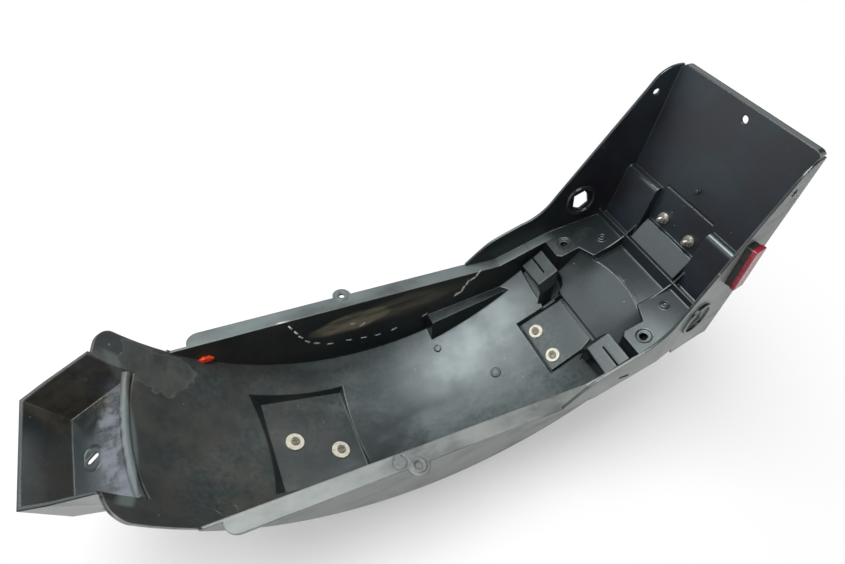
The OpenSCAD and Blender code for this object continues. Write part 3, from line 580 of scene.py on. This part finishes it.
    def lay_corner_film(self):
        """Thin film of dried road dirt on the far front corner, paler along its border"""
        edge = self.patch(*CORNER_FILM)
        film = self.times(edge, self.between(self.cloud(70, 5, 0.62, (1, 0.5, 1)), 0.3, 0.62))
        rim = self.maths("MAXIMUM", self.maths("SUBTRACT", edge, self.patch(*CORNER_FILM_CORE)), 0.0)
        self.tint(self.times(film, 0.36), self.look.film)
        self.tint(self.times(rim, 0.25), self.look.dust)
        self.dull(film, 0.62)

    def lay_stain_and_rubbed_reflection(self):
        """Warm stain, and a pale brown streaky band on the far wall's inner face that is partly rubbed
        by the tyre and partly a painted reflection
        """
        stain = self.times(
            self.patch(*WALL_STAIN), self.between(self.cloud(20, 3, 0.5, (0.6, 1, 1.6)), 0.3, 0.62))
        self.tint(self.times(stain, 0.2), self.look.soil)
        # Painted reflection: the band's pale brown stands in partly for a reflection on the far wall,
        # partly for tyre rub
        rubbed = self.maths(
            "MAXIMUM", self.patch(*RUBBED_REFLECTION_CORE), self.times(self.patch(*RUBBED_REFLECTION_TRAIL), 0.4))
        rubbed = self.times(rubbed, self.between(self.aside_facing, -0.3, -0.6))
        streaks = self.between(self.cloud(80, 5, 0.62, (0.16, 1, 1)), 0.28, 0.62)
        self.tint(self.times(rubbed, streaks, 0.85), self.look.rubbed)
        self.dull(self.times(rubbed, streaks, 0.7), 0.6)

    def lay_torn_slits(self):
        """Pale torn plastic within the slits of the far wall"""
        under_flange = self.maths("ADD", self.height, self.times(self.along, FLANGE_FALL))
        torn = self.times(
            self.between(self.across, *SLITS_INNER), self.between(self.across, *SLITS_OUTER),
            self.between(self.along, *SLITS_FRONT), self.between(self.along, *SLITS_REAR),
            self.between(self.height, *SLITS_FOOT), self.between(under_flange, *SLITS_TOP))
        self.tint(self.times(torn, 0.9), SLIT_PALE)

    def lay_scratches(self):
        """Long fine scratches, pale specks and rubbed edges"""
        lines = self.between(self.cloud(420, 2, 0.5, (0.05, 1, 1)), 0.66, 0.76)
        self.tint(self.times(lines, 0.12), self.look.dust)
        specks = self.times(self.specks(60, 0.075), self.between(self.cloud(17, 2, 0.5), 0.5, 0.6))
        self.tint(self.times(specks, 0.6), self.look.chalk)
        worn = self.times(self.edge_wear(self.look.edge), self.between(self.cloud(45, 3, 0.5), 0.3, 0.8))
        self.tint(self.times(worn, 0.14), self.look.scuff)

    def close(self):
        """Fine grain over slow waves, on softened edges"""
        normal = self.soft_edges(self.look.edge)
        normal = self.relief(self.cloud(1500, 2, 0.5), 0.12 * MM, self.look.grain, normal)
        normal = self.relief(self.cloud(14, 2, 0.5), 1.6 * MM, 0.10, normal)
        self.set(Base_Color=self.base, Roughness=self.rough, Normal=normal)
        self.shader.inputs["Specular IOR Level"].default_value = 0.85
        # Painted light: the cool specular tint is a colour cast on the reflections, standing in for the
        # cool tint of the lamps
        self.shader.inputs["Specular Tint"].default_value = (0.86, 0.98, 1.0, 1)
        return self.material


def body_plastic(look):
    """Finish of the moulding, its zones laid one over the other"""
    f = BodyFinish(look)
    f.lay_clean_plastic()
    f.lay_dust()
    f.lay_tail_gloss()
    f.lay_floor_wear()
    f.lay_flange_chalk()
    f.lay_outer_chalk_and_painted_light()
    f.lay_scoop()
    f.lay_corner_film()
    f.lay_stain_and_rubbed_reflection()
    f.lay_torn_slits()
    f.lay_scratches()
    return f.close()


def washer_metal(look):
    """Pale washer with grime in patches"""
    f = Finish("washer_metal")
    grime = f.between(f.cloud(260, 5, 0.65), 0.42, 0.64)
    colour = f.colour(f.times(grime, 0.3), look.washer, WASHER_GRIME)
    f.set(Base_Color=colour, Roughness=f.level(grime, 0.35, 0.62),
          Normal=f.relief(f.cloud(800, 3, 0.6), 0.2 * MM, 0.3, f.soft_edges(METAL_EDGE)))
    f.shader.inputs["Metallic"].default_value = 0.25
    return f.material


def screw_steel(look):
    """Aged screw, rusty in its recess, its colour kept dark all over, partly as painted shade of the
    recess
    """
    f = Finish("screw_steel")
    rusty = f.between(f.cloud(330, 5, 0.65), 0.36, 0.6)
    colour = f.colour(f.times(rusty, 0.45), look.socket, look.rust)
    f.set(Base_Color=colour, Roughness=f.level(rusty, 0.42, 0.7),
          Metallic=f.level(rusty, 0.6, 0.2),
          Normal=f.relief(f.cloud(1200, 3, 0.6), 0.2 * MM, 0.5, f.soft_edges(METAL_EDGE)))
    return f.material


def zinc_plate(look, name="zinc_plate"):
    """Dull zinc plating with white bloom"""
    f = Finish(name)
    bloom = f.between(f.cloud(300, 4, 0.6), 0.4, 0.66)
    colour = f.colour(f.times(bloom, 0.5), look.steel, ZINC_BLOOM)
    f.set(Base_Color=colour, Roughness=f.level(bloom, 0.32, 0.6),
          Normal=f.relief(f.cloud(900, 3, 0.6), 0.15 * MM, 0.35, f.soft_edges(METAL_EDGE)))
    f.shader.inputs["Metallic"].default_value = 0.85
    return f.material


def lens_red(look):
    """Crimson lens, clear and glossy, with road film"""
    f = Finish("lens_red")
    film = f.between(f.cloud(120, 5, 0.65), 0.4, 0.7)
    colour = f.colour(f.times(film, 0.2), look.lens, LENS_FILM)
    f.set(Base_Color=colour, Roughness=f.level(film, 0.2, 0.4))
    f.shader.inputs["Coat Weight"].default_value = 0.25
    f.shader.inputs["Coat Roughness"].default_value = 0.08
    return f.material


def reflector_plastic(look):
    """Dull back of the reflector"""
    f = Finish("reflector_plastic")
    dull = f.between(f.cloud(140, 5, 0.6), 0.35, 0.65)
    f.set(Base_Color=f.colour(f.times(dull, 0.4), look.back, BACK_DULL),
          Roughness=f.level(dull, 0.4, 0.65), Normal=f.soft_edges(REFLECTOR_EDGE))
    return f.material


def frayed_plastic():
    """Pale torn plastic along the slits"""
    f = Finish("frayed_plastic")
    torn = f.between(f.cloud(700, 4, 0.6), 0.35, 0.65)
    f.set(Base_Color=f.colour(torn, TORN_DULL, TORN_PALE), Roughness=f.level(torn, 0.6, 0.9),
          Normal=f.relief(f.cloud(1600, 3, 0.6), 0.3 * MM, 0.6))
    return f.material


def drop_paint(wear):
    """Orange-red paint drop"""
    f = Finish("drop_paint")
    shade = f.between(f.cloud(330, 3, 0.6), 0.35, 0.65)
    f.set(Base_Color=f.colour(shade, wear.drop_colour, DROP_PALE),
          Roughness=f.level(shade, 0.3, 0.45))
    f.shader.inputs["Specular IOR Level"].default_value = 0.25
    return f.material


def dress(name, material):
    """Gives a CAD node its finish"""
    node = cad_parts[name]
    node.data.materials.clear()
    node.data.materials.append(material)


def as_piece(name, bm, material, replaced=()):
    """Makes an object from a bmesh whose points are already in place, and seats it on the body"""
    mesh = bpy.data.meshes.new(name)
    bm.normal_update()
    bm.to_mesh(mesh)
    bm.free()
    mesh.materials.append(material)
    piece = bpy.data.objects.new(name, mesh)
    bpy.context.scene.collection.objects.link(piece)
    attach(piece, BODY)
    if replaced:
        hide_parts(*replaced)
    return piece


def soften(mesh, angle=35):
    """Smooth shading that keeps edges sharper than the angle"""
    mesh.shade_smooth()
    mesh.set_sharp_from_angle(angle=math.radians(angle))


def threaded_rod(bm, radius, pitch, length, place):
    """Thread wound up a rod by a screw spin of its side"""
    steps = 20
    turns = int(length / pitch)
    depth = pitch * 0.45
    side = [(radius - depth, 0), (radius, 0.45), (radius, 0.55), (radius - depth, 1)]
    ring = [bm.verts.new((reach, 0, pitch * share)) for reach, share in side]
    edges = [bm.edges.new(pair) for pair in zip(ring, ring[1:])]
    bmesh.ops.spin(
        bm, geom=ring + edges, cent=(0, 0, 0), axis=(0, 0, 1), dvec=(0, 0, pitch / steps),
        angle=math.tau * turns, steps=steps * turns, use_merge=False)
    bmesh.ops.remove_doubles(bm, verts=bm.verts[:], dist=pitch * 0.01)
    core_radius = radius - depth * 0.9
    core_length = (turns + 1) * pitch
    bmesh.ops.create_cone(
        bm, cap_ends=True, segments=24, radius1=core_radius, radius2=core_radius, depth=core_length,
        matrix=Matrix.Translation((0, 0, core_length / 2)))
    bmesh.ops.transform(bm, matrix=place, verts=bm.verts[:])


class MUDGUARD_OT_plastic(bpy.types.Operator):
    """Finish the moulded body"""

    bl_idname = "mudguard.plastic"
    bl_label = "Moulded Body"

    def execute(self, context):
        dress("mudguard_body", body_plastic(context.scene.mudguard_plastic))
        return {"FINISHED"}


class MUDGUARD_OT_pad_fasteners(bpy.types.Operator):
    """Finish the washers, screws and nuts of both floor pads"""

    bl_idname = "mudguard.pad_fasteners"
    bl_label = "Pad Fasteners"

    def execute(self, context):
        look = context.scene.mudguard_fasteners
        washer = washer_metal(look)
        screw = screw_steel(look)
        nut = zinc_plate(look)
        for pad in ("front", "rear"):
            dress(f"{pad}_pad_washers", washer)
            dress(f"{pad}_pad_screws", screw)
            dress(f"{pad}_pad_nuts", nut)
        return {"FINISHED"}


class MUDGUARD_OT_tail_fasteners(bpy.types.Operator):
    """Thread the tail bolts and finish their nuts and washers"""

    bl_idname = "mudguard.tail_fasteners"
    bl_label = "Tail Fasteners"

    def execute(self, context):
        look = context.scene.mudguard_fasteners
        plate = zinc_plate(look, "tail_zinc")
        dress("tail_washers", plate)
        dress("tail_nuts", plate)
        low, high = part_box("tail_washers")
        middle = (low + high) / 2
        bolt_y = (high.y - low.y) / 2 - (high.z - low.z) / 2 / math.cos(PANEL_TILT)
        turn = Matrix.Rotation(-math.pi / 2 + PANEL_TILT, 4, "Y")
        axis = turn @ Vector((0, 0, 1))
        half_washer = 0.6 * MM
        face = middle - axis * half_washer
        bolts = bmesh.new()
        for side in (-1, 1):
            place = Matrix.Translation((face.x, side * bolt_y, face.z)) @ turn
            one = bmesh.new()
            head_foot = -look.wall - look.head
            head_radius = look.flats / math.sqrt(3)
            threaded_rod(one, look.shank, look.pitch, look.reach + look.wall,
                         place @ Matrix.Translation((0, 0, -look.wall)))
            head = bmesh.ops.create_cone(
                one, cap_ends=True, segments=6, radius1=head_radius, radius2=head_radius,
                depth=look.head, matrix=place @ Matrix.Translation((0, 0, head_foot + look.head / 2)))
            bmesh.ops.bevel(
                one, geom=list({e for v in head["verts"] for e in v.link_edges}), offset=METAL_EDGE,
                segments=2, profile=0.5, material=-1, affect="EDGES", offset_type="OFFSET")
            mesh = bpy.data.meshes.new("one_bolt")
            one.to_mesh(mesh)
            one.free()
            bolts.from_mesh(mesh)
            bpy.data.meshes.remove(mesh)
        bmesh.ops.recalc_face_normals(bolts, faces=bolts.faces[:])
        piece = as_piece("threaded_bolts", bolts, plate, ["tail_bolts"])
        soften(piece.data)
        return {"FINISHED"}


class MUDGUARD_OT_reflector(bpy.types.Operator):
    """Model the red lens with its prisms and finish the reflector's back"""

    bl_idname = "mudguard.reflector"
    bl_label = "Side Reflector"

    def execute(self, context):
        look = context.scene.mudguard_reflector
        dress("reflector_base", reflector_plastic(look))
        low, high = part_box("reflector_lens")
        centre = (low + high) / 2
        turn = Matrix.Rotation(REFLECTOR_TURN, 4, "Z") @ Matrix.Rotation(math.pi / 2, 4, "X")
        height = high.z - low.z
        # the box of the turned lens gives back its own width and thickness
        cosine, sine = math.cos(REFLECTOR_TURN), math.sin(REFLECTOR_TURN)
        spread_x, spread_y = high.x - low.x, high.y - low.y
        width = (spread_x * cosine - spread_y * sine) / (cosine * cosine - sine * sine)
        thick = (spread_y * cosine - spread_x * sine) / (cosine * cosine - sine * sine)
        face_bevel, face_sink, prism_height = 0.8 * MM, 0.3 * MM, 0.2 * MM
        lens = bmesh.new()
        bmesh.ops.create_cube(lens, size=1, matrix=Matrix.Diagonal((width, height, thick, 1)))
        upright = [e for e in lens.edges if abs(e.verts[0].co.z - e.verts[1].co.z) > thick / 2]
        bmesh.ops.bevel(
            lens, geom=upright, offset=look.corner, segments=6, profile=0.5, material=-1,
            affect="EDGES", offset_type="OFFSET")
        front = max(lens.faces, key=lambda face: face.calc_center_median().z)
        bmesh.ops.bevel(
            lens, geom=list(front.edges), offset=face_bevel, segments=4, profile=0.5, material=-1,
            affect="EDGES", offset_type="OFFSET")
        front = max(lens.faces, key=lambda face: face.calc_center_median().z)
        bmesh.ops.inset_region(lens, faces=[front], thickness=look.rim, depth=-face_sink)
        # rows of low prisms across the face
        margin = 2 * look.rim
        rows = int((height - 2 * margin) / look.prism)
        columns = int((width - 2 * margin) / look.prism)
        for row in range(rows):
            for column in range(columns):
                spot = Vector((
                    (column - (columns - 1) / 2) * look.prism, (row - (rows - 1) / 2) * look.prism,
                    thick / 2 - face_sink))
                bmesh.ops.create_cone(
                    lens, cap_ends=True, segments=6, radius1=look.prism * 0.5,
                    radius2=look.prism * 0.2, depth=prism_height, matrix=Matrix.Translation(spot))
        bmesh.ops.transform(lens, matrix=Matrix.Translation(centre) @ turn, verts=lens.verts[:])
        piece = as_piece("red_lens", lens, lens_red(look), ["reflector_lens"])
        soften(piece.data, 30)
        return {"FINISHED"}


def frayed_bead(bm, length, radius, place, draw):
    """Ragged bead of torn plastic, lying along the X axis of its place and tapered to its ends"""
    first = len(bm.verts)
    bead = bmesh.ops.create_cone(
        bm, cap_ends=True, segments=7, radius1=radius, radius2=radius * 0.7, depth=length,
        matrix=Matrix.Rotation(math.pi / 2, 4, "Y"))
    long_edges = [
        e for e in {e for v in bead["verts"] for e in v.link_edges}
        if abs(e.verts[0].co.x - e.verts[1].co.x) > length / 2]
    bmesh.ops.subdivide_edges(bm, edges=long_edges, cuts=9, use_grid_fill=True)
    bm.verts.ensure_lookup_table()
    verts = bm.verts[first:]
    offset = Vector((draw.uniform(0, 40), draw.uniform(0, 40), draw.uniform(0, 40)))
    for vert in verts:
        ragged = noise.noise(vert.co * 900 + offset)
        taper = 1 - 0.75 * abs(2 * vert.co.x / length) ** 3
        vert.co.y *= (0.75 + 0.9 * ragged) * taper
        vert.co.z *= (0.8 + 1.1 * ragged) * taper
        vert.co.z += radius * 0.8 * noise.noise(vert.co * 500 + offset)
    bmesh.ops.transform(bm, matrix=place, verts=verts)


class MUDGUARD_OT_worn_edges(bpy.types.Operator):
    """Lay frayed plastic along the worn slits and the split of the far wall"""

    bl_idname = "mudguard.worn_edges"
    bl_label = "Frayed Slit Edges"

    def execute(self, context):
        wear = context.scene.mudguard_wear
        draw = random.Random(wear.seed)
        fray = bmesh.new()
        marks = [
            (x, z, -slope, wear.slit_length, wear.slit_width, wear.fray)
            for x, z, slope in WORN_SLITS]
        marks += [
            (x, z, slope, length * MM, wear.split_width, wear.split_fray)
            for x, z, slope, length in SPLIT_PARTS]
        for x, z, slope, length, width, bead in marks:
            turn = Matrix.Rotation(-math.radians(slope), 4, "Y")
            for side in (-1, 1):
                place = (
                    Matrix.Translation((x * MM, FAR_WALL_Y, z * MM)) @ turn
                    @ Matrix.Translation((0, 0, side * width / 2)))
                radius = bead * draw.uniform(0.6, 1.1)
                frayed_bead(fray, length * draw.uniform(0.8, 1.05), radius, place, draw)
        piece = as_piece("frayed_slits", fray, frayed_plastic())
        soften(piece.data, 50)
        return {"FINISHED"}


class MUDGUARD_OT_moulding_rings(bpy.types.Operator):
    """Raise the round ejector rings on the arch floor"""

    bl_idname = "mudguard.moulding_rings"
    bl_label = "Moulding Rings"

    def execute(self, context):
        look = context.scene.mudguard_plastic
        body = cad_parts["mudguard_body"]
        rings = bmesh.new()
        beside, above = 9, 300
        inner_slope, outer_slope, foot = 0.5, 0.6, -1
        for x, y, inner, outer, inside in EJECTOR_MARKS:
            # the floor beside the mark gives the rim its seat and lean
            around = [
                Vector((x + ahead * beside, y + aside * beside, above)) * MM
                for ahead, aside in ((1, 0), (-1, 0), (0, 1), (0, -1))]
            struck = [body.ray_cast(start, Vector((0, 0, -1))) for start in around]
            if not all(hit[0] for hit in struck):
                raise RuntimeError("no floor beside an ejector mark")
            middle = sum((hit[1] for hit in struck), Vector()) / len(struck)
            facing = sum((hit[2] for hit in struck), Vector()).normalized()
            place = Matrix.Translation(middle) @ facing.to_track_quat("Z", "Y").to_matrix().to_4x4()
            top = inside + look.ring_rise / MM
            outline = [
                (0, inside), (inner, inside), (inner + inner_slope, top), (outer - outer_slope, top),
                (outer, foot)]
            first = len(rings.verts)
            side = [rings.verts.new((radius * MM, 0, height * MM)) for radius, height in outline]
            edges = [rings.edges.new(pair) for pair in zip(side, side[1:])]
            bmesh.ops.spin(
                rings, geom=side + edges, cent=(0, 0, 0), axis=(0, 0, 1), angle=math.tau, steps=48,
                use_merge=True)
            rings.verts.ensure_lookup_table()
            bmesh.ops.transform(rings, matrix=place, verts=rings.verts[first:])
        bmesh.ops.remove_doubles(rings, verts=rings.verts[:], dist=0.001 * MM)
        bmesh.ops.recalc_face_normals(rings, faces=rings.faces[:])
        piece = as_piece(
            "moulding_rings", rings, bpy.data.materials["body_plastic"])
        soften(piece.data, 30)
        return {"FINISHED"}


class MUDGUARD_OT_paint_drop(bpy.types.Operator):
    """Set the dried paint drop on the far wall"""

    bl_idname = "mudguard.paint_drop"
    bl_label = "Paint Drop"

    def execute(self, context):
        wear = context.scene.mudguard_wear
        drop = bmesh.new()
        bmesh.ops.create_icosphere(drop, subdivisions=4, radius=0.5)
        for vert in drop.verts:
            vert.co *= 1 + 0.3 * noise.noise(vert.co * 3.1 + Vector((wear.seed, 0, 0)))
        size = Matrix.Diagonal((wear.drop_length, wear.drop_bulge, wear.drop_height, 1))
        bmesh.ops.transform(drop, matrix=Matrix.Translation(DROP_PLACE) @ size, verts=drop.verts[:])
        piece = as_piece("paint_drop", drop, drop_paint(wear))
        soften(piece.data, 80)
        return {"FINISHED"}


class MUDGUARD_OT_studio(bpy.types.Operator):
    """Set up the floor, the lights and the camera"""

    bl_idname = "mudguard.studio"
    bl_label = "Studio"

    def execute(self, context):
        studio = context.scene.mudguard_studio
        scene = context.scene
        scene.view_settings.view_transform = "Standard"
        self.lay_floor(studio)
        self.light_room(scene, studio)
        for name, size, place, setting in SOFTBOXES:
            self.hang_softbox(name, size, Vector(place), getattr(studio, setting))
        self.place_camera(scene, studio)
        return {"FINISHED"}

    def lay_floor(self, studio):
        sheet = bmesh.new()
        bmesh.ops.create_grid(sheet, x_segments=1, y_segments=1, size=FLOOR_HALF)
        mesh = bpy.data.meshes.new("studio_floor")
        sheet.to_mesh(mesh)
        sheet.free()
        floor = bpy.data.objects.new("studio_floor", mesh)
        bpy.context.scene.collection.objects.link(floor)
        f = Finish("studio_floor")
        f.set(Base_Color=tuple(studio.floor), Roughness=0.9)
        f.shader.inputs["Specular IOR Level"].default_value = 0.0
        glow = f.add("ShaderNodeEmission")
        glow.inputs["Strength"].default_value = 1.0
        share = f.add("ShaderNodeMixShader")
        distance = f.add("ShaderNodeVectorMath", operation="LENGTH")
        f.join(f.place, distance.inputs[0])
        ray = f.add("ShaderNodeLightPath").outputs
        seen = f.maths("MAXIMUM", ray["Is Glossy Ray"], ray["Is Transmission Ray"])
        seen = f.maths("MAXIMUM", ray["Is Camera Ray"], seen)
        seen = f.times(seen, f.between(distance.outputs["Value"], *FLOOR_GLOW))
        f.join(seen, share.inputs[0])
        f.join(f.shader.outputs[0], share.inputs[1])
        f.join(glow.outputs[0], share.inputs[2])
        f.join(share.outputs[0], f.output.inputs[0])
        mesh.materials.append(f.material)

    def light_room(self, scene, studio):
        world = bpy.data.worlds.new("studio_room")
        world.use_nodes = True
        scene.world = world
        tree = world.node_tree
        tree.nodes.clear()
        out = tree.nodes.new("ShaderNodeOutputWorld")
        share = tree.nodes.new("ShaderNodeMixShader")
        room = tree.nodes.new("ShaderNodeBackground")
        room.inputs["Strength"].default_value = studio.ambient
        white = tree.nodes.new("ShaderNodeBackground")
        white.inputs["Strength"].default_value = 1.0
        for background in (room, white):
            background.inputs["Color"].default_value = (1, 1, 1, 1)
        ray = tree.nodes.new("ShaderNodeLightPath")
        tree.links.new(ray.outputs["Is Camera Ray"], share.inputs[0])
        tree.links.new(room.outputs[0], share.inputs[1])
        tree.links.new(white.outputs[0], share.inputs[2])
        tree.links.new(share.outputs[0], out.inputs[0])

    def hang_softbox(self, name, size, place, brightness):
        light = bpy.data.lights.new(name, "AREA")
        light.shape = "RECTANGLE"
        light.size, light.size_y = size
        light.energy = brightness * math.pi * size[0] * size[1]
        lamp = bpy.data.objects.new(name, light)
        bpy.context.scene.collection.objects.link(lamp)
        aim = (SOFTBOX_AIM - place).to_track_quat("-Z", "Y")
        lamp.matrix_world = Matrix.Translation(place) @ aim.to_matrix().to_4x4()
        lamp.visible_camera = False

    def place_camera(self, scene, studio):
        lens = bpy.data.cameras.new("camera")
        lens.sensor_fit = "HORIZONTAL"
        lens.sensor_width = 36
        lens.lens = studio.focal
        lens.clip_start = 0.01
        camera = bpy.data.objects.new("camera", lens)
        scene.collection.objects.link(camera)
        up = CAMERA_BACK.cross(CAMERA_RIGHT)
        turn = Matrix((CAMERA_RIGHT, up, CAMERA_BACK)).transposed().to_4x4()
        camera.matrix_world = Matrix.Translation(Vector(studio.camera)) @ turn
        scene.camera = camera


OPERATORS = (
    MUDGUARD_OT_plastic, MUDGUARD_OT_pad_fasteners, MUDGUARD_OT_tail_fasteners, MUDGUARD_OT_reflector,
    MUDGUARD_OT_worn_edges, MUDGUARD_OT_moulding_rings, MUDGUARD_OT_paint_drop, MUDGUARD_OT_studio)
GROUPS = {
    "mudguard_plastic": PlasticFinish, "mudguard_fasteners": FastenerFinish,
    "mudguard_reflector": ReflectorFinish, "mudguard_wear": WearSizes, "mudguard_studio": StudioSettings}


class MUDGUARD_PT_panel(bpy.types.Panel):
    """Lists the mudguard's pieces and their settings"""

    bl_label = "Mudguard"
    bl_idname = "MUDGUARD_PT_panel"
    bl_space_type = "VIEW_3D"
    bl_region_type = "UI"
    bl_category = "Mudguard"

    def draw(self, context):
        layout = self.layout
        for operator in OPERATORS:
            layout.operator(operator.bl_idname)
        for group in GROUPS:
            box = layout.box()
            settings = getattr(context.scene, group)
            for name in settings.bl_rna.properties.keys():
                if name not in ("rna_type", "name"):
                    box.prop(settings, name)


def register():
    for group in GROUPS.values():
        bpy.utils.register_class(group)
    for name, group in GROUPS.items():
        setattr(bpy.types.Scene, name, PointerProperty(type=group))
    for operator in OPERATORS:
        bpy.utils.register_class(operator)
    bpy.utils.register_class(MUDGUARD_PT_panel)


def unregister():
    bpy.utils.unregister_class(MUDGUARD_PT_panel)
    for operator in reversed(OPERATORS):
        bpy.utils.unregister_class(operator)
    for name, group in reversed(GROUPS.items()):
        delattr(bpy.types.Scene, name)
        bpy.utils.unregister_class(group)


def main():
    register()
    bpy.ops.mudguard.plastic()
    bpy.ops.mudguard.pad_fasteners()
    bpy.ops.mudguard.tail_fasteners()
    bpy.ops.mudguard.reflector()
    bpy.ops.mudguard.worn_edges()
    bpy.ops.mudguard.moulding_rings()
    bpy.ops.mudguard.paint_drop()
    bpy.ops.mudguard.studio()


if __name__ == "__main__":
    main()
